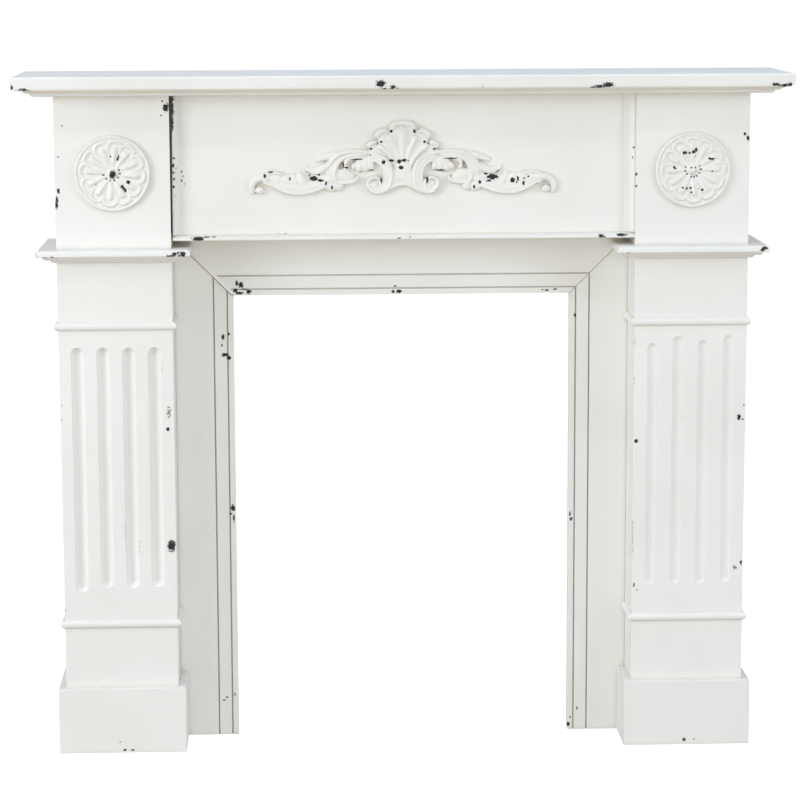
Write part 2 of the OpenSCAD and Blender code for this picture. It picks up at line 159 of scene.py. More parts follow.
# %% Paint that has chipped
def chipped_paint(name, chips=(), ragged=3.2, along="z", bare=((0, 1, 0),), joint_shadow=None, crevice_shading=0.55,
                  groove_shade=0.0, paint=PAINT):
    """Off-white paint with chips, on a board whose grain runs along an axis. Faces along the bare directions
    show the board. The open-joint direction and height give faces that take painted shadow in the undercoat
    colour above that height; the groove amount is painted shade in the undercoat colour deep in narrow
    grooves;
    the amount for corners is painted shade, warm brown, where faces meet."""
    material = bpy.data.materials.new(name)
    material.use_nodes = True
    tree = material.node_tree
    shader = tree.nodes["Principled BSDF"]
    place = add_node(tree, "ShaderNodeTexCoord").outputs["Object"]
    streak = add_node(tree, "ShaderNodeMapping", {
        "Vector": place, "Scale": (1, 1, 0.05) if along == "z" else (0.05, 1, 1)}).outputs[0]

    # Cloudy paint, painted warm shade on faces that look down, painted shade where faces meet
    cloud = fade(tree, noise(tree, place, 5, 2), 0.35, 0.7)
    colour = blend_colour(tree, cloud, paint, PAINT_CLOUD)
    # Faces that look down take a warm yellow: painted warm shade
    painted_underside_shade = calc(tree, "MULTIPLY", facing(tree, (0, 0, -1)), 0.7)
    colour = blend_colour(tree, painted_underside_shade, colour, UNDERSIDE_WARM_SHADE)
    shade = add_node(tree, "ShaderNodeAmbientOcclusion", {"Distance": 0.012}, samples=4).outputs["AO"]
    painted_crevice_shade = calc(tree, "MULTIPLY", fade(tree, shade, 0.75, 0.15), crevice_shading)
    colour = blend_colour(tree, painted_crevice_shade, colour, CREVICE_SHADE_COLOUR)

    # Fine specks, and arrises worn through here and there
    grain = noise(tree, place, 420, 4, 0.65)
    cells = add_node(tree, "ShaderNodeTexVoronoi", {"Vector": place, "Scale": 26})
    pick = add_node(tree, "ShaderNodeSeparateColor", {"Color": cells.outputs["Color"]}).outputs[0]
    speck = fade(tree, cells.outputs["Distance"], 0.024, 0.016)
    speck = calc(tree, "MULTIPLY", speck, fade(tree, pick, 0.86, 0.88))
    core = add_node(tree, "ShaderNodeAmbientOcclusion", {"Distance": 0.003}, samples=4, inside=True,
                    only_local=True).outputs["AO"]
    here_and_there = fade(tree, noise(tree, place, 15, 2), 0.68, 0.71)
    worn = calc(tree, "MULTIPLY", fade(tree, core, 0.85, 0.65), here_and_there)
    worn = calc(tree, "MULTIPLY", worn, fade(tree, grain, 0.50, 0.54))
    wear_and_shade = calc(tree, "MAXIMUM", calc(tree, "MULTIPLY", speck, 0.8), worn)

    # Chips; painted shade in the undercoat colour deep in narrow grooves and on faces inside the open joint
    if chips:
        if chips == "on mesh":
            near = add_node(tree, "ShaderNodeAttribute", attribute_name="chip").outputs["Fac"]
        else:
            near = chip_field(tree, place, chips)
        reach = calc(tree, "SUBTRACT", 1.0, near)
        torn = calc(tree, "MULTIPLY", calc(tree, "SUBTRACT", grain, 0.5), ragged)
        wear_and_shade = calc(tree, "MAXIMUM", wear_and_shade, fade(tree, calc(tree, "ADD", reach, torn), -0.06, 0.06))
    # Deep narrow grooves get painted shade in the undercoat colour
    if groove_shade:
        groove = add_node(tree, "ShaderNodeAmbientOcclusion", {"Distance": 0.004}, samples=6,
                          only_local=chips != "on mesh").outputs["AO"]
        wear_and_shade = calc(tree, "MAXIMUM", wear_and_shade, calc(tree, "MULTIPLY", fade(tree, groove, 0.60, 0.40), groove_shade))
    # Faces inside the open joint, above a height, get painted shadow in the undercoat colour
    if joint_shadow:
        direction, above = joint_shadow
        height = add_node(tree, "ShaderNodeSeparateXYZ", {0: place}).outputs[2]
        unlit = calc(tree, "MULTIPLY", facing(tree, direction), calc(tree, "GREATER_THAN", height, above))
        wear_and_shade = calc(tree, "MAXIMUM", wear_and_shade, unlit)
    # Worn paint and painted shade alike take the undercoat colour
    colour = blend_colour(tree, wear_and_shade, colour, UNDERCOAT)

    # Bare board, with its grain
    unpainted = None
    for direction in bare:
        side = facing(tree, direction)
        unpainted = side if unpainted is None else calc(tree, "MAXIMUM", unpainted, side)
    figure = fade(tree, noise(tree, streak, 160, 4), 0.3, 0.7)
    colour = blend_colour(tree, unpainted, colour, blend_colour(tree, figure, BOARD, BOARD_DARK))
    tree.links.new(colour, shader.inputs["Base Color"])

    # Satin where there is paint, dull elsewhere
    dull = calc(tree, "MAXIMUM", wear_and_shade, unpainted)
    satin = add_node(tree, "ShaderNodeMapRange", {
        "Value": noise(tree, place, 60, 3), "To Min": 0.36, "To Max": 0.52}).outputs["Result"]
    rough = add_node(tree, "ShaderNodeMix", {"Factor": dull, 2: satin, 3: 0.68}, data_type="FLOAT")
    tree.links.new(rough.outputs[0], shader.inputs["Roughness"])

    # Brush marks, and the step down into a chip
    brush = calc(tree, "MULTIPLY", noise(tree, streak, 500, 2), 0.03)
    height = calc(tree, "ADD", brush, calc(tree, "MULTIPLY", noise(tree, place, 700, 2), 0.015))
    height = calc(tree, "SUBTRACT", height, calc(tree, "MULTIPLY", wear_and_shade, 0.2))
    bump = add_node(tree, "ShaderNodeBump", {"Height": height, "Distance": 0.001, "Strength": 0.8})
    tree.links.new(bump.outputs[0], shader.inputs["Normal"])
    return material


# %% [markdown]
# ## Where the paint has gone, and painted shadow
# Each chip is given from the edges of the piece that it is on, in millimetres,
# with its half width and half height, and a share by which a patchy one is
# held back. The chips sit on the front of the piece and reach a few
# millimetres round its edge. The highest marks on the frieze's left cove are
# not chips but painted shadow, in the undercoat colour, deep in the open joint.

# %% Chips on the boards and mouldings
CHIPS_AND_SHADOW_MARKS = {
    "shelf": [
        (3.5, 14, 1.8, 6), (20.5, 10.8, 9, 3.2), (563, 18.5, 7.5, 4.6), (568, 10, 8, 2.6), (581, 12, 5, 4),
        (591, 10, 4, 2.2), (889, 10.5, 6.5, 2.4), (899, 12, 8.5, 3.2), (911, 15, 8, 4), (1169, 14, 7, 2.4),
        (1182, 12, 7.5, 3), (1190.5, 13.5, 3.6, 3)],
    "left_front_board": [
        (173.5, 1024, 4.5, 6.5), (168, 1034, 1.4, 1.6), (166, 1012, 1.2, 1.4), (5.6, 896.5, 2, 4.5),
        (3, 882.6, 2, 5), (2, 874.8, 2.5, 6), (13.3, 996.7, 1.2, 1.2), (6, 949, 1, 1),
        (170, 548, 6, 17, 0.7), (168, 521, 2.5, 3), (171, 334, 6, 9), (3.3, 561, 1.2, 4, 0.5),
        (2.7, 537, 1, 3, 0.5)],
    "right_front_board": [
        (0.8, 916.7, 1.5, 2.5), (1, 898, 1.2, 2), (170, 977.8, 2, 2.5), (175, 971.6, 2.5, 4),
        (4.6, 494.2, 3, 3), (168, 531, 3, 5), (175.6, 550, 1.2, 1.5), (174.4, 527.7, 1.5, 1.5),
        (174.9, 296, 1.5, 5), (165, 288, 6, 8, 0.7), (3.7, 261, 1.3, 4), (8.6, 252.6, 1, 1.5)],
    "left_capital_front": [
        (214, 15.2, 3.4, 2.4), (219.5, 17, 2.4, 1.8), (221, 12.2, 2.2, 1.6), (227, 14.2, 4.6, 4.4),
        (207, 12.4, 6, 1.5), (3, 10.5, 1.5, 1), (15, 10.8, 4, 0.8), (26, 12, 2, 0.8)],
    "right_capital_front": [
        (15.3, 9.8, 4.5, 2), (229.4, 17.5, 5, 2.5), (226, 14.4, 4.5, 2)],
    "frieze_ledge": [
        (40, 3.5, 9, 4), (53, 7, 5, 3), (64, 8, 6, 3), (352.3, 2.2, 3, 1), (369.4, 3.6, 1.5, 1),
        (668.5, 3, 3.5, 2.8), (674, 2, 2, 1), (701.5, 5, 8, 2.6)],
    "frieze_left_cove": [
        # The first three marks below, high on the joint side, are painted shadow deep in the open joint
        (2, 214, 9, 9), (2, 196, 5, 14), (1.5, 175, 3.5, 12), (4, 120, 2, 2.4), (3, 109, 2.2, 4),
        (7, 104, 1.6, 2.5), (4, 98, 2.4, 4), (8, 94, 1.6, 2), (4, 88, 2, 3.4), (9, 87, 1.4, 1.4),
        (3, 76, 2, 2.2), (6, 62, 1.2, 1.4), (11, 96, 1.2, 1.2)],
    "frieze_right_cove": [
        (10, 132.7, 1.5, 1.5), (16.3, 132.6, 1.5, 1.5), (14.8, 117.1, 1.5, 1.5), (10.6, 70.2, 1.5, 1.5),
        (10.7, 57.7, 1.5, 1.5)],
    "frieze_panel": [
        (15, 99, 1.3, 1.4), (17, 92, 1.2, 1.2), (15, 85, 1.1, 1.6), (19, 80, 1, 1)],
    "header_slip": [
        (99, 20, 2, 5), (106, 17, 4, 4.5), (97, 8, 3.5, 3), (103, 4, 6, 2), (118.5, 6, 3.5, 3.5),
        (111, 10, 5, 1.2), (348, 4.3, 2.5, 2.5), (357.5, 4.5, 4.5, 2.6), (351, 13, 2, 1.2),
        (587, 5, 1.5, 1), (594, 4.6, 3, 1.5), (607, 6, 3, 1.2)],
    "left_slip": [
        (76.3, 654.6, 2.5, 4.5), (85.9, 659.3, 2, 2), (74.5, 641.7, 1, 3), (79, 626, 5, 3),
        (85.4, 620.6, 3, 3.5), (88.6, 376.4, 3.5, 5), (85.2, 366.6, 1.5, 2), (89.9, 360, 1.5, 6),
        (74.7, 62.8, 1.5, 1.5), (69.7, 57.8, 3, 1.2), (87.7, 67.6, 1, 3)],
    "right_slip": [
        (8.9, 684.9, 1.8, 2.8), (2.9, 360, 1.5, 4), (4.6, 352, 2.5, 2.5), (16.4, 35.7, 1.2, 2.5),
        (2, 9, 2.5, 4), (5, 20.7, 1.2, 2)],
    "left_plinth_front": [
        (103.5, 4.8, 2.5, 1.6), (116, 4.6, 3, 1.2), (96, 18, 0.8, 0.8)],
    "right_plinth_front": [
        (97.5, 8.5, 2.6, 3.2), (113.6, 8.8, 1.2, 1.2)],
}


def chips_at(origin, marks, depth):
    """Marks are (across, up, half width, half height, held back) in millimetres from an origin in metres."""
    found = []
    for across, up, half_w, half_h, *held in marks:
        middle = (origin[0] + across / 1000, origin[1], origin[2] + up / 1000)
        found.append((middle, (half_w / 1000, depth / 1000, half_h / 1000), held[0] if held else 0))
    return found


def keep_on_mesh(piece, chips):
    """On a dense mesh the distance to the nearest chip is worked out once and kept as an attribute."""
    points = np.empty(len(piece.data.vertices) * 3)
    piece.data.vertices.foreach_get("co", points)
    points = points.reshape(-1, 3)
    values = np.full(len(points), 9.0)
    for middle, size, held in chips:
        away = np.hypot((points[:, 0] - middle[0]) / size[0], (points[:, 2] - middle[2]) / size[2])
        values = np.minimum(values, away + held)
    layer = piece.data.attributes.new("chip", "FLOAT", "POINT")
    layer.data.foreach_set("value", values)


print(sum(len(marks) for marks in CHIPS_AND_SHADOW_MARKS.values()), "chips on", len(CHIPS_AND_SHADOW_MARKS), "pieces")

# %% [markdown]
# ## Soft edges
# Paint rounds off a sharp arris. The CAD nodes stay as they are, and a Weld
# and a Bevel modifier give every arris a radius of under a millimetre. The
# boards were only painted where they are seen: backs and the insides of the
# pilaster boxes are bare. The faces inside the open joint beside the left
# block are given painted shadow in the undercoat colour, and the deep grooves
# of the slips painted shade in the same colour.

# %% Ease the edges of the CAD nodes and paint them
def ease_edges(piece):
    weld = piece.modifiers.new("Weld", "WELD")
    weld.merge_threshold = 1e-6
    bevel = piece.modifiers.new("Eased arris", "BEVEL")
    bevel.width = 0.0008
    bevel.segments = 2
    bevel.limit_method = "ANGLE"
    bevel.angle_limit = radians(35)
    bevel.harden_normals = True


inner_face = {"left_outer_side": (1, 0, 0), "left_inner_side": (-1, 0, 0),
              "right_outer_side": (-1, 0, 0), "right_inner_side": (1, 0, 0)}
# Faces inside the open joint get painted shadow in the undercoat colour, above the ledge
open_joint = {"left_front_board": (1, 0, 0), "left_inner_side": (1, 0, 0),
              "frieze_panel": (-1, 0, 0), "frieze_left_cove": (-1, 0, 0)}
chip_depth = 6
# How much painted shade, in the undercoat colour, each slip takes deep in its grooves
groove_shades = {"left_slip": 1.0, "right_slip": 0.9, "header_slip": 0.6}
ledge_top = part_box("frieze_ledge")[1].z
for name, piece in nodes.items():
    ease_edges(piece)
    low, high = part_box(name)
    bare = [(0, 1, 0)] + ([inner_face[name]] if name in inner_face else [])
    joint_shadow = (open_joint[name], ledge_top + 0.001) if name in open_joint else None
    along = "x" if high.x - low.x > high.z - low.z else "z"
    piece.data.materials.clear()
    piece.data.materials.append(chipped_paint(
        name + "_paint", chips_at(low, CHIPS_AND_SHADOW_MARKS.get(name, []), chip_depth), along=along, bare=bare, joint_shadow=joint_shadow,
        groove_shade=groove_shades.get(name, 0.0)))
print("eased and painted", len(nodes), "nodes")

# %% [markdown]
# ## Cast relief
# The frieze ornament and the rosettes are castings glued to the boards and
# painted over, so every hollow is softened by paint. Relief like this is drawn
# stroke by stroke: a curve with a round section swells and thins along its
# length, is flattened towards the board, and its ends are rounded. The strokes
# are made meshes, joined, and remeshed into one skin. The remesh welds the
# strokes together, and a little smoothing fills the corners as paint does.
# What lies behind the board's face is pressed flat against it.

# %% Helpers for relief strokes
def on_curve(guide, share):
    """The point at a share of the way along a smooth curve through guide points."""
    place = min(max(share, 0), 1) * (len(guide) - 1)
    i = min(int(place), len(guide) - 2)
    t = place - i
    a, b, c, d = (Vector(guide[max(0, min(k, len(guide) - 1))]) for k in (i - 1, i, i + 1, i + 2))
    return 0.5 * (
        2 * b + (c - a) * t + (2 * a - 5 * b + 4 * c - d) * t * t + (3 * b - a - 3 * c + d) * t * t * t)


def stroke(guide, radii, top, rise=0.0):
    """One stroke on the plane y = 0, facing -Y, in millimetres: guide points (across, up), radii along it,
    the height of its fattest part, and how far its axis stands off the board."""
    count = max(12, 8 * (len(guide) - 1))
    path = [on_curve(guide, k / count) for k in range(count + 1)]
    gone = [0.0]
    for before, after in zip(path, path[1:]):
        gone.append(gone[-1] + (after - before).length)
    data = bpy.data.curves.new("stroke", "CURVE")
    data.dimensions = "3D"
    data.bevel_depth = 1.0
    data.bevel_resolution = 3
    data.use_fill_caps = True
    line = data.splines.new("POLY")
    line.points.add(count)
    for point, spot, run in zip(line.points, path, gone):
        share = run / gone[-1] * (len(radii) - 1)
        i = min(int(share), len(radii) - 2)
        radius = radii[i] + (radii[i + 1] - radii[i]) * (share - i)
        end = min(1, min(run, gone[-1] - run) / radius)
        point.co = (spot.x / 1000, 0, spot.y / 1000, 1)
        point.radius = radius / 1000 * max(0.03, (2 * end - end * end) ** 0.5)
    made = bpy.data.objects.new("stroke", data)
    bpy.context.collection.objects.link(made)
    made.scale = (1, (top - rise) / max(radii), 1)
    made.location = (0, -rise / 1000, 0)
    return made


def knob(across, up, radius, top):
    return stroke([(across - radius, up), (across + radius, up)], [radius, radius], top)


def make_mesh(parts, name):
    """Turns strokes and meshes into one mesh object at the origin."""
    bpy.ops.object.select_all(action="DESELECT")
    for part in parts:
        part.select_set(True)
    bpy.context.view_layer.objects.active = parts[0]
    bpy.ops.object.convert(target="MESH")
    bpy.ops.object.join()
    piece = bpy.context.object
    piece.name = name
    bpy.ops.object.transform_apply(location=True, rotation=True, scale=True)
    return piece


def cast(piece, voxel, smooth):
    """Fuses a heap of strokes into one skin, softened, with a flat back on the plane y = 0."""
    bpy.ops.object.modifier_add(type="REMESH")
    piece.modifiers["Remesh"].mode = "VOXEL"
    piece.modifiers["Remesh"].voxel_size = voxel
    bpy.ops.object.modifier_apply(modifier="Remesh")
    bpy.ops.object.modifier_add(type="SMOOTH")
    piece.modifiers["Smooth"].factor = 0.5
    piece.modifiers["Smooth"].iterations = smooth
    bpy.ops.object.modifier_apply(modifier="Smooth")
    for vertex in piece.data.vertices:
        vertex.select = vertex.co.y > 0
    bpy.ops.object.mode_set(mode="EDIT")
    bpy.ops.mesh.select_mode(type="VERT")
    bpy.ops.transform.resize(value=(1, 0, 1), center_override=(0, 0, 0))
    bpy.ops.object.mode_set(mode="OBJECT")
    bpy.ops.object.shade_smooth_by_angle(angle=radians(50))


def set_down(piece, across, board_y, up):
    """Moves a piece that was made at the origin to its place, and leaves its object at the origin."""
    bpy.ops.object.select_all(action="DESELECT")
    piece.select_set(True)
    bpy.context.view_layer.objects.active = piece
    bpy.ops.transform.translate(value=(across, board_y, up))
    bpy.ops.object.transform_apply(location=True, rotation=True, scale=True)
    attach(piece, "root")


# %% [markdown]
# ## The frieze ornament
# A shell fan rises from between two volutes, and an acanthus arm runs out to
# each side: a double band that curls under, leaf fingers above it, and a long
# stem with leaves that ends in a hook round a bud. The right half is drawn
# about the foot of the fan and mirrored.

# %% Draw the fan and the volute
fan = [
    # Plates that close the fan out to its scallops, its side ribs, and the rolled lips
    stroke([(2, -6), (8, 20), (11, 60)], [8, 11, 15], 4.2),
    stroke([(8, -4), (20, 18), (36, 46)], [7, 9, 13], 4.0),
    stroke([(12, -6), (30, 10), (54, 27)], [7, 8, 10], 3.8),
    stroke([(5.5, -2), (9, 12), (14.5, 26), (21.5, 41)], [1.6, 2.6, 4.0, 6.0], 10, 1),
    stroke([(11, -10), (16, 3), (25, 15), (40, 27)], [2.2, 3.2, 4.4, 5.6], 9, 1),
    stroke([(16, -14), (24, -2), (36, 9), (50, 17)], [2.2, 2.8, 3.6, 4.4], 8, 1),
    stroke([(-3, 60), (9, 60), (15.5, 56), (16, 48)], [4.4, 4.8, 5.2, 3.6], 8, 3),
    stroke([(23, 45), (28, 48.5), (35, 47), (40.5, 42), (39.5, 36)], [3.4, 4.2, 4.8, 5.0, 3.2], 7.8, 2.5),
    stroke([(41, 29), (46, 30.5), (51.5, 27.5), (55, 21.5)], [3.0, 4.0, 4.4, 3.6], 7.2, 2.5),
]
volute = [
    # Ground between the two volutes, with its arched foot
    knob(0, -14, 17, 6),
    stroke([(0, -2), (0, -37)], [14, 17], 6.2),
    stroke([(4, -8), (10, -22), (20, -42)], [10, 12, 11], 6),
    stroke([(-3, -35), (6, -35.5), (15, -38.5), (25, -44), (34, -48)], [2.4, 2.6, 2.8, 3, 2.8], 7.5, 3),
    # The broad band, its two lips, and the spiral that it ends in
    stroke([(56, 10), (42, 8), (31, 0), (24, -12), (23, -25), (27, -37), (36, -43), (46, -43)],
           [6, 8, 9, 9, 9, 8, 7, 6], 8),
    stroke([(54, 14), (39, 11.5), (27, 3), (20, -8), (18, -22), (21, -36), (29, -45), (42, -47.5), (52, -43)],
           [2, 2.6, 3, 3, 3, 3, 3, 3, 3], 9, 4),
    stroke([(48, 3), (38, -1), (31.5, -10), (29.5, -20), (30, -31)], [1.8, 2.2, 2.4, 2.2, 1.8], 8, 4),
    stroke([(46, -44), (54, -38), (54, -30), (48, -24.5), (40, -25), (35, -30), (35.5, -37.5), (41, -42),
            (47.5, -40), (49, -34), (45, -30)],
           [3.4, 3.4, 3.4, 3.2, 3, 2.6, 2.2, 2.2, 2.2, 2.2, 2], 9, 3),
    knob(42.5, -35.5, 5, 8),
    knob(44, -35, 11, 4.5),
]
print("drew the fan and volute in", len(fan) + len(volute), "strokes")

# %% Draw the acanthus arm
leaves = [
    # A broad leaf between the volute and the band, with a lobed lower edge
    stroke([(42, 4), (58, 0), (76, -5)], [8, 11, 8], 5.5),
    stroke([(51, 4), (50, -5), (47.5, -13.5)], [5, 6, 5], 6.2),
    stroke([(58, 4), (58.5, -5), (57, -16)], [5, 6.4, 5.4], 6.8),
    stroke([(65, 2), (68, -6), (68, -16.5)], [5, 6.4, 5], 6.4),
    stroke([(71, 0), (76, -6), (78, -12.5)], [4.4, 5, 4], 5.8),
]
band = [
    # Plate, outer lip, inner lip, the ridge inside them, and the leaf that the band curls into
    stroke([(52, 12), (76, 14), (96, 9), (107, -1), (112, -14), (111, -26)], [5, 6.5, 9, 10, 10.5, 10], 6.5),
    stroke([(47, 13), (60, 16), (79, 16.5), (97, 13), (108, 5.5), (116, -4), (125, -12), (137, -18)],
           [2.4, 3.2, 3.8, 4, 4, 3.8, 3.4, 2.6], 9, 3.5),
    stroke([(56, 11), (72, 11.5), (87, 8.5), (98, 2.5), (104, -7), (107, -17), (105, -28), (98, -35)],
           [1.8, 2.6, 3.2, 3.4, 3.4, 3.4, 3.2, 2.6], 8.5, 3.5),
    stroke([(60, 7.5), (74, 7), (85, 3.5), (90.5, -2), (89.5, -7.5), (85, -8)],
           [1.8, 2.8, 3.4, 3.4, 3.2, 3.4], 7.8, 2),
    stroke([(104, -12), (95, -20), (84, -23), (75, -22)], [10, 12.5, 11.5, 8.5], 7.6),
    stroke([(100, -31), (86, -32), (74, -28), (70, -20)], [2.6, 3.2, 3.2, 2.8], 7.6, 2.5),
    # Recessed ground under the fingers, the leaf fingers above, and the leaf that hangs below
    stroke([(112, -14), (133, -25), (155, -27)], [9, 9, 6], 2.6),
    stroke([(100, 12), (117, 9), (128, 5.5), (138, 2)], [6, 6.8, 5.4, 3.4], 6),
    stroke([(110, -4), (124, -10), (137, -14), (149, -10), (154, -3)], [8, 8.4, 7.4, 5.6, 3.4], 7),
    stroke([(106, -28), (100, -36), (98, -45.5)], [8, 8.4, 6.4], 7),
    stroke([(112, -30), (110.5, -47)], [7, 5.6], 6.6),
    stroke([(114, -34), (121, -43)], [6, 5], 6),
]
arm = [
    # Stem and its lower lip, the body of the leaf over it, its lobes, the hook and the bud
    stroke([(106, -22), (120, -30), (134, -36.5), (150, -41), (166, -42), (180, -40), (194, -34), (206, -28)],
           [8, 9, 9.4, 9.6, 9.6, 9.4, 9, 8], 7),
    stroke([(118, -36), (132, -42), (149, -47), (166, -48.5), (182, -46), (196, -39.5), (208, -34),
            (218, -31.5)],
           [2.6, 2.8, 3, 3, 3, 2.8, 2.6, 2], 7.8, 3),
    stroke([(146, -36), (168, -30), (190, -28), (222, -26)], [7, 12, 12, 8], 5.8),
    stroke([(154, -38), (157, -27), (164, -14)], [7, 7.4, 4.6], 6.6),
    stroke([(165, -38), (169, -27), (174, -16)], [7, 7, 4.6], 6.4),
    stroke([(177, -36), (181, -27), (187, -17)], [7, 7, 4.8], 6.5),
    stroke([(186, -34), (197, -27), (208, -23), (220, -23)], [10, 12, 10, 8], 6.8),
    stroke([(186, -19.5), (198, -16), (210, -17.5), (222, -22)], [2.6, 3, 3, 2.6], 7.8, 2.5),
    stroke([(206, -27), (219, -24), (229.5, -27), (235, -34.5), (235.5, -43), (231.5, -49)],
           [7.4, 7, 6.6, 6, 5.4, 4.2], 8.6),
    knob(223, -42.5, 7, 9),
]
print("drew the arm in", len(leaves) + len(band) + len(arm), "strokes")

# %% Fuse the casting
spine = [
    stroke([(0, -3), (0, 14), (0, 32), (0, 55)], [1.8, 3.6, 6.6, 9.0], 10.5, 1),
    stroke([(0, 10), (0, 62)], [9, 19], 4.5),
]
low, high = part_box("frieze_ornament")
fan_foot = ((low.x + high.x) / 2 - 0.002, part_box("frieze_panel")[0].y, low.z + 0.0515)
ornament = make_mesh(fan + volute + leaves + band + arm, "ornament_casting")
bpy.ops.object.modifier_add(type="MIRROR")
ornament.modifiers["Mirror"].use_mirror_merge = False
bpy.ops.object.modifier_apply(modifier="Mirror")
ornament = make_mesh([ornament] + spine, "ornament_casting")
cast(ornament, voxel=0.00097, smooth=6)
set_down(ornament, *fan_foot)
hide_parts("frieze_ornament")
ORNAMENT_CHIPS_AND_SHADOWS = [
    (-18, 47.5, 2.2, 2.5), (18, 47.5, 2.2, 3), (-34, 31, 2.4, 1.8), (34, 31, 2.2, 1.8), (-50, 20.5, 3, 1.5),
    (49, 20, 3.5, 1.3), (-51, 11, 0.8, 1.5), (-30, 0, 3, 3.5), (-18, 2.5, 4, 2), (-6, 1, 4, 3.5),
    (2, 2.5, 3.5, 2.5), (8, 2, 2, 0.8), (-3, -9, 4.2, 3), (-146, -19, 2, 3), (-151, -15, 2, 1.8),
    (-131, -19, 2, 1.8), (147, -18, 2.5, 2.5), (151, -14.5, 1.5, 1.2), (129, -19, 3, 2),
    (-111, -39, 1.8, 2.6), (111, -39, 1.8, 3), (-120, -32, 1.5, 3.5), (120, -32, 2, 3.5),
    (-206, -14, 4, 1.8), (-215, -20, 2, 3), (-176, -25, 1.2, 2.5), (171, -29, 3.6, 4.2), (179, -27, 1.6, 4),
    (177, -33, 1.2, 1.5), (189, -26, 2.4, 1.2), (188, -34, 1.8, 3.5), (195.5, -23.5, 1.8, 1.6),
    # From here on the marks are painted shadow in the undercoat colour: the dark of crevices, pits and
    # pierced gaps
    (-93, -4, 1.4, 5), (-88, -8, 3, 1.4), (-73, 4.5, 10, 1.1), (75, 5.5, 11, 1.1), (94, -5, 1.3, 4),
    (-48, -12.5, 7, 1.2), (-64, -16, 2.4, 2), (57, -13, 10, 1.2), (37.5, -27, 1.6, 6), (-34, -28, 1.6, 5),
    (-139, -25, 7, 3.5), (-129, -28, 5, 2.2), (140, -24, 9, 4), (133, -30, 4, 1.5), (-150, -17, 3, 1.6),
    (149, -16, 2.6, 2)]
relief_depth = 40
keep_on_mesh(ornament, chips_at(fan_foot, ORNAMENT_CHIPS_AND_SHADOWS, relief_depth))
# Its crevices take strong painted shade, warm brown, and the undercoat colour deep in the grooves
ornament.data.materials.append(chipped_paint("ornament_paint", "on mesh", ragged=2.4, crevice_shading=0.9, groove_shade=0.7))
print("ornament of", len(ornament.data.polygons), "faces")

# %% [markdown]
# ## The rosettes
# A rosette is a disc with a plain rolled rim and twelve petals. A petal is a
# tongue that widens outwards, inside a lip that runs round it like a long U,
# so a small pit is left between the two. A dart fills each gap near the rim,
# and a round boss covers the roots. One petal is drawn and copied round.

# %% Make a petal
petal = make_mesh([
    stroke([(-6.0, 27), (-8.0, 34), (-9.8, 41), (-8.0, 47.2), (0, 49.8), (8.0, 47.2), (9.8, 41), (8.0, 34),
            (6.0, 27)],
           [1.2, 2.0, 2.8, 3.2, 3.4, 3.2, 2.8, 2.0, 1.2], 7.8, 2.0),
    stroke([(0, 9), (0, 22), (0, 34), (0, 42)], [1.9, 3.6, 5.0, 5.2], 8.8, 2.6),
    stroke([(0, 26), (0, 49)], [5, 9], 3.8),
    stroke([(12.4, 46), (14.0, 52.4)], [1.6, 2.8], 7, 1),
], "petal")
print("petal of", len(petal.data.polygons), "faces")

# %% Set the petals round the disc
petal_count = 12
bpy.ops.object.select_all(action="DESELECT")
bpy.ops.mesh.primitive_cylinder_add(vertices=96, radius=0.0585, depth=0.009, rotation=(pi / 2, 0, 0))
disc = bpy.context.object
bpy.ops.object.transform_apply(rotation=True)
for face in disc.data.polygons:
    face.select = face.normal.y < -0.9
bpy.ops.object.mode_set(mode="EDIT")
bpy.ops.mesh.select_mode(type="FACE")
bpy.ops.mesh.inset(thickness=0.0035, depth=0)
bpy.ops.mesh.extrude_region_move(TRANSFORM_OT_translate={"value": (0, 0.0016, 0)})
bpy.ops.object.mode_set(mode="OBJECT")
bpy.ops.object.select_all(action="DESELECT")
bpy.ops.mesh.primitive_torus_add(
    major_segments=96, minor_segments=12, major_radius=0.0563, minor_radius=0.0021,
    location=(0, -0.0044, 0), rotation=(pi / 2, 0, 0))
rim = bpy.context.object
petals = [petal]
for k in range(1, petal_count):
    bpy.ops.object.select_all(action="DESELECT")
    petal.select_set(True)
    bpy.context.view_layer.objects.active = petal
    bpy.ops.object.duplicate()
    bpy.ops.transform.rotate(value=radians(360 / petal_count * k), orient_axis="Y", center_override=(0, 0, 0))
    petals.append(bpy.context.object)
rosette = make_mesh([disc, rim] + petals + [knob(0, 0, 10, 10)], "left_rosette_casting")
cast(rosette, voxel=0.0007, smooth=3)
print("rosette of", len(rosette.data.polygons), "faces")

# %% Place a rosette on each block
bpy.ops.object.duplicate()
other = bpy.context.object
other.name = "right_rosette_casting"
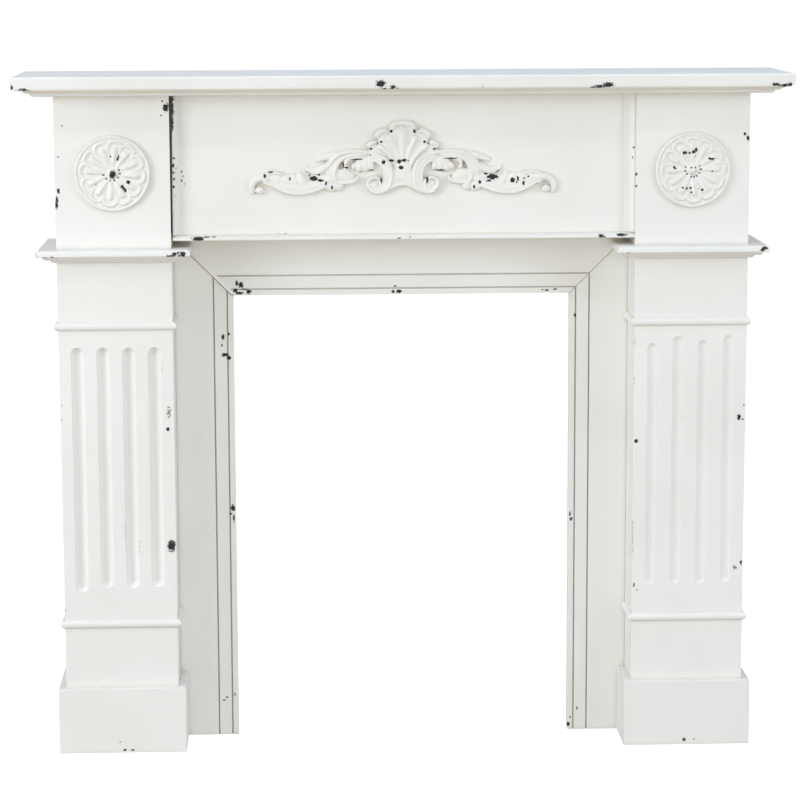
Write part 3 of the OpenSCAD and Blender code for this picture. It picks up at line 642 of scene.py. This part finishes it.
# Marks are (clockwise from the top in degrees, out from the middle, half width, half height in millimetres)
# Marks 11 to 14 mm out are painted shade in the undercoat colour: the ring of pits round the boss
ROSETTE_CHIPS_AND_PIT_SHADOWS = {
    "left": [
        (135, 1.4, 4.8, 6), (22, 24, 1.6, 2.2), (22, 28, 1.4, 2.4), (118, 28, 3, 3), (143, 25, 2.2, 2.6),
        (143, 29, 2.4, 2.6), (143, 33, 2, 2.6), (356, 26.5, 1.4, 1.6), (237, 30, 0.9, 0.9),
        (52, 28, 1.6, 1.6, 0.6), (90, 35, 1.6, 1.6, 0.6), (61, 12, 1.8, 1.5), (90, 11.8, 1.8, 1.4),
        (123, 11, 1.3, 1.3), (163, 11, 1.4, 1.4), (195, 11, 1.4, 1.4), (229, 12, 1.5, 1.3),
        (262, 13.6, 1.9, 1.4)],
    "right": [
        (1, 28, 3.2, 2.6), (7, 31.5, 3.0, 2.8), (348, 27, 1.6, 1.8), (331, 30.5, 2.6, 2.4),
        (337, 29, 1.8, 2.0), (55, 31, 2.4, 1.8), (60, 34, 3.0, 2.0), (278, 30, 1.8, 2.2),
        (275, 27.5, 1.2, 1.4), (155, 34.5, 2.0, 2.0), (164, 31, 1.6, 1.4, 0.4), (187, 28.5, 1.8, 1.9),
        (184, 35, 1.4, 1.6), (198, 30.5, 1.6, 2.0), (211, 32, 1.7, 1.6), (95, 30, 1.2, 1.4),
        (40, 5, 1.4, 1.2), (120, 4.5, 1, 1), (200, 5, 1.1, 1), (318, 5, 1.6, 1.2), (85, 12, 1.8, 1.3),
        (60, 12, 1.2, 1.1), (115, 11.5, 1.3, 1.3), (150, 11, 1.4, 1.4), (172, 11, 1.4, 1.6),
        (195, 11, 1.4, 1.4), (237, 11.5, 1.6, 1.4), (262, 12.5, 1.8, 1.4), (290, 12.5, 1.4, 1.2),
        (300, 26, 2, 1.4, 0.6), (10, 21, 4, 3, 0.8), (40, 26, 2.4, 2, 0.7)],
}
for piece, side, turn_by in ((rosette, "left", -6), (other, "right", 2)):
    bpy.ops.object.select_all(action="DESELECT")
    piece.select_set(True)
    bpy.context.view_layer.objects.active = piece
    bpy.ops.transform.rotate(value=radians(turn_by), orient_axis="Y", center_override=(0, 0, 0))
    low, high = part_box(side + "_rosette")
    middle = ((low.x + high.x) / 2, high.y, (low.z + high.z) / 2)
    set_down(piece, *middle)
    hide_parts(side + "_rosette")
    piece.data.materials.clear()
    marks = [(out * sin(radians(clock)), out * cos(radians(clock)), *rest)
             for clock, out, *rest in ROSETTE_CHIPS_AND_PIT_SHADOWS[side]]
    keep_on_mesh(piece, chips_at(middle, marks, relief_depth))
    # The casting's crevices take strong painted shade, warm brown, and the undercoat colour deep in the
    # grooves
    piece.data.materials.append(
        chipped_paint(side + "_rosette_paint", "on mesh", ragged=2.4, crevice_shading=0.9, groove_shade=0.7))
print("placed", rosette.name, "and", other.name)

# %% [markdown]
# ## Filler in the left mitre
# The left mitre of the slips has opened, and the filler in it stands a little
# proud of the header as a thin pale ridge, with the dark gap beside it. It is
# a slim bar, thickest along the gap, turned to the slope of the mitre.

# %% Make the filler ridge
ridge_length, ridge_width, ridge_proud = 0.1185, 0.0050, 0.0042
half_run = 0.0435
off_the_gap = 0.0013
bpy.ops.object.select_all(action="DESELECT")
bpy.ops.mesh.primitive_cube_add(size=1, location=(0, 0, 0))
ridge = bpy.context.object
ridge.name = "left_mitre_filler"
bpy.ops.transform.resize(value=(ridge_length, ridge_proud, ridge_width))
bpy.ops.object.transform_apply(scale=True)
bpy.ops.object.mode_set(mode="EDIT")
bpy.ops.mesh.select_mode(type="VERT")
bpy.ops.mesh.select_all(action="DESELECT")
bpy.ops.object.mode_set(mode="OBJECT")
for vertex in ridge.data.vertices:
    vertex.select = vertex.co.y < 0 < vertex.co.z
bpy.ops.object.mode_set(mode="EDIT")
bpy.ops.transform.translate(value=(0, 0.0030, 0))
bpy.ops.mesh.select_all(action="SELECT")
bpy.ops.mesh.bevel(offset=0.0004, segments=2, affect="EDGES")
bpy.ops.object.mode_set(mode="OBJECT")
bpy.ops.transform.rotate(value=-radians(45), orient_axis="Y", center_override=(0, 0, 0))
bpy.ops.object.transform_apply(rotation=True)
bpy.ops.object.shade_smooth_by_angle(angle=radians(40))
slip_low, slip_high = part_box("left_slip")
inner_corner = (slip_high.x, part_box("header_slip")[0].z)
set_down(ridge, inner_corner[0] - half_run + off_the_gap, slip_low.y - 0.0004,
         inner_corner[1] + half_run + off_the_gap)
# The filler is painted whiter than the rest: a painted highlight for the light the ridge catches
ridge.data.materials.append(chipped_paint("filler_highlight_paint", paint=(0.95, 0.95, 0.94, 1)))
print("filler ridge of", len(ridge.data.polygons), "faces")

# %% [markdown]
# ## Floor
# A plain pale floor runs out to a far white wall that goes all the way round,
# so no wall stands close behind the piece. Both glow a little and throw no
# light back on it, as in a large white studio; the piece is lit by the lamps.

# %% Lay the floor and put the far wall round it
studio_radius = 40
wall_height = 60


def whiten(thing, name, glow):
    thing.visible_diffuse = False
    thing.visible_glossy = False
    white = bpy.data.materials.new(name)
    white.use_nodes = True
    shader = white.node_tree.nodes["Principled BSDF"]
    shader.inputs["Base Color"].default_value = (0.9, 0.9, 0.9, 1)
    shader.inputs["Roughness"].default_value = 0.9
    shader.inputs["Emission Color"].default_value = (0.9, 1, 0.98, 1)
    shader.inputs["Emission Strength"].default_value = glow
    thing.data.materials.append(white)


bpy.ops.object.select_all(action="DESELECT")
bpy.ops.mesh.primitive_circle_add(vertices=96, radius=studio_radius, fill_type="NGON", location=(0, 0, 0))
floor = bpy.context.object
floor.name = "Floor"
whiten(floor, "pale_floor", 0.6)

bpy.ops.object.select_all(action="DESELECT")
bpy.ops.mesh.primitive_cylinder_add(
    vertices=96, radius=studio_radius, depth=wall_height, end_fill_type="NOTHING",
    location=(0, 0, wall_height / 2 - 1))
far_wall = bpy.context.object
far_wall.name = "Far wall"
far_wall.visible_shadow = False
whiten(far_wall, "white_wall", 1.2)
print("floor and far wall", 2 * studio_radius, "metres across")

# %% [markdown]
# ## Light
# Two broad lamps stand at the sides, the left one stronger, and a smaller one
# hangs high in front on the left, so that the shelf and every ledge throw a
# soft-edged shadow down. A weak low lamp in front keeps the undersides from going
# dark, and an overhead one, cooler than the rest, tints the top of the shelf.

# %% Hang the lamps
aim = Vector((0, 0, 0.7))


def soft_lamp(name, place, size, power, colour=(1, 1, 1)):
    bpy.ops.object.select_all(action="DESELECT")
    bpy.ops.object.light_add(type="AREA", location=place)
    lamp = bpy.context.object
    lamp.name = name
    lamp.rotation_euler = (aim - Vector(place)).to_track_quat("-Z", "Y").to_euler()
    lamp.data.shape = "SQUARE"
    lamp.data.size = size
    lamp.data.energy = power
    lamp.data.color = colour


soft_lamp("Key", (-2.2, -3.0, 4.6), 0.6, 27)
soft_lamp("Overhead", (0, -0.3, 3.6), 2.0, 26, (0.45, 0.8, 1.0))
soft_lamp("Left", (-3.8, -2.2, 1.6), 1.5, 80, (0.90, 0.95, 1.0))
soft_lamp("Right", (4.0, -2.5, 1.8), 1.5, 61, (0.80, 0.88, 1.0))
soft_lamp("Low front", (0, -5.0, 0.6), 2.0, 34, (0.86, 1.0, 0.68))
world = bpy.data.worlds.new("Surround")
bpy.context.scene.world = world
world.use_nodes = True
world.node_tree.nodes["Background"].inputs["Color"].default_value = (1.0, 0.93, 0.95, 1)
world.node_tree.nodes["Background"].inputs["Strength"].default_value = 0.53
bpy.context.scene.view_settings.view_transform = "Standard"
print("lamps hung")
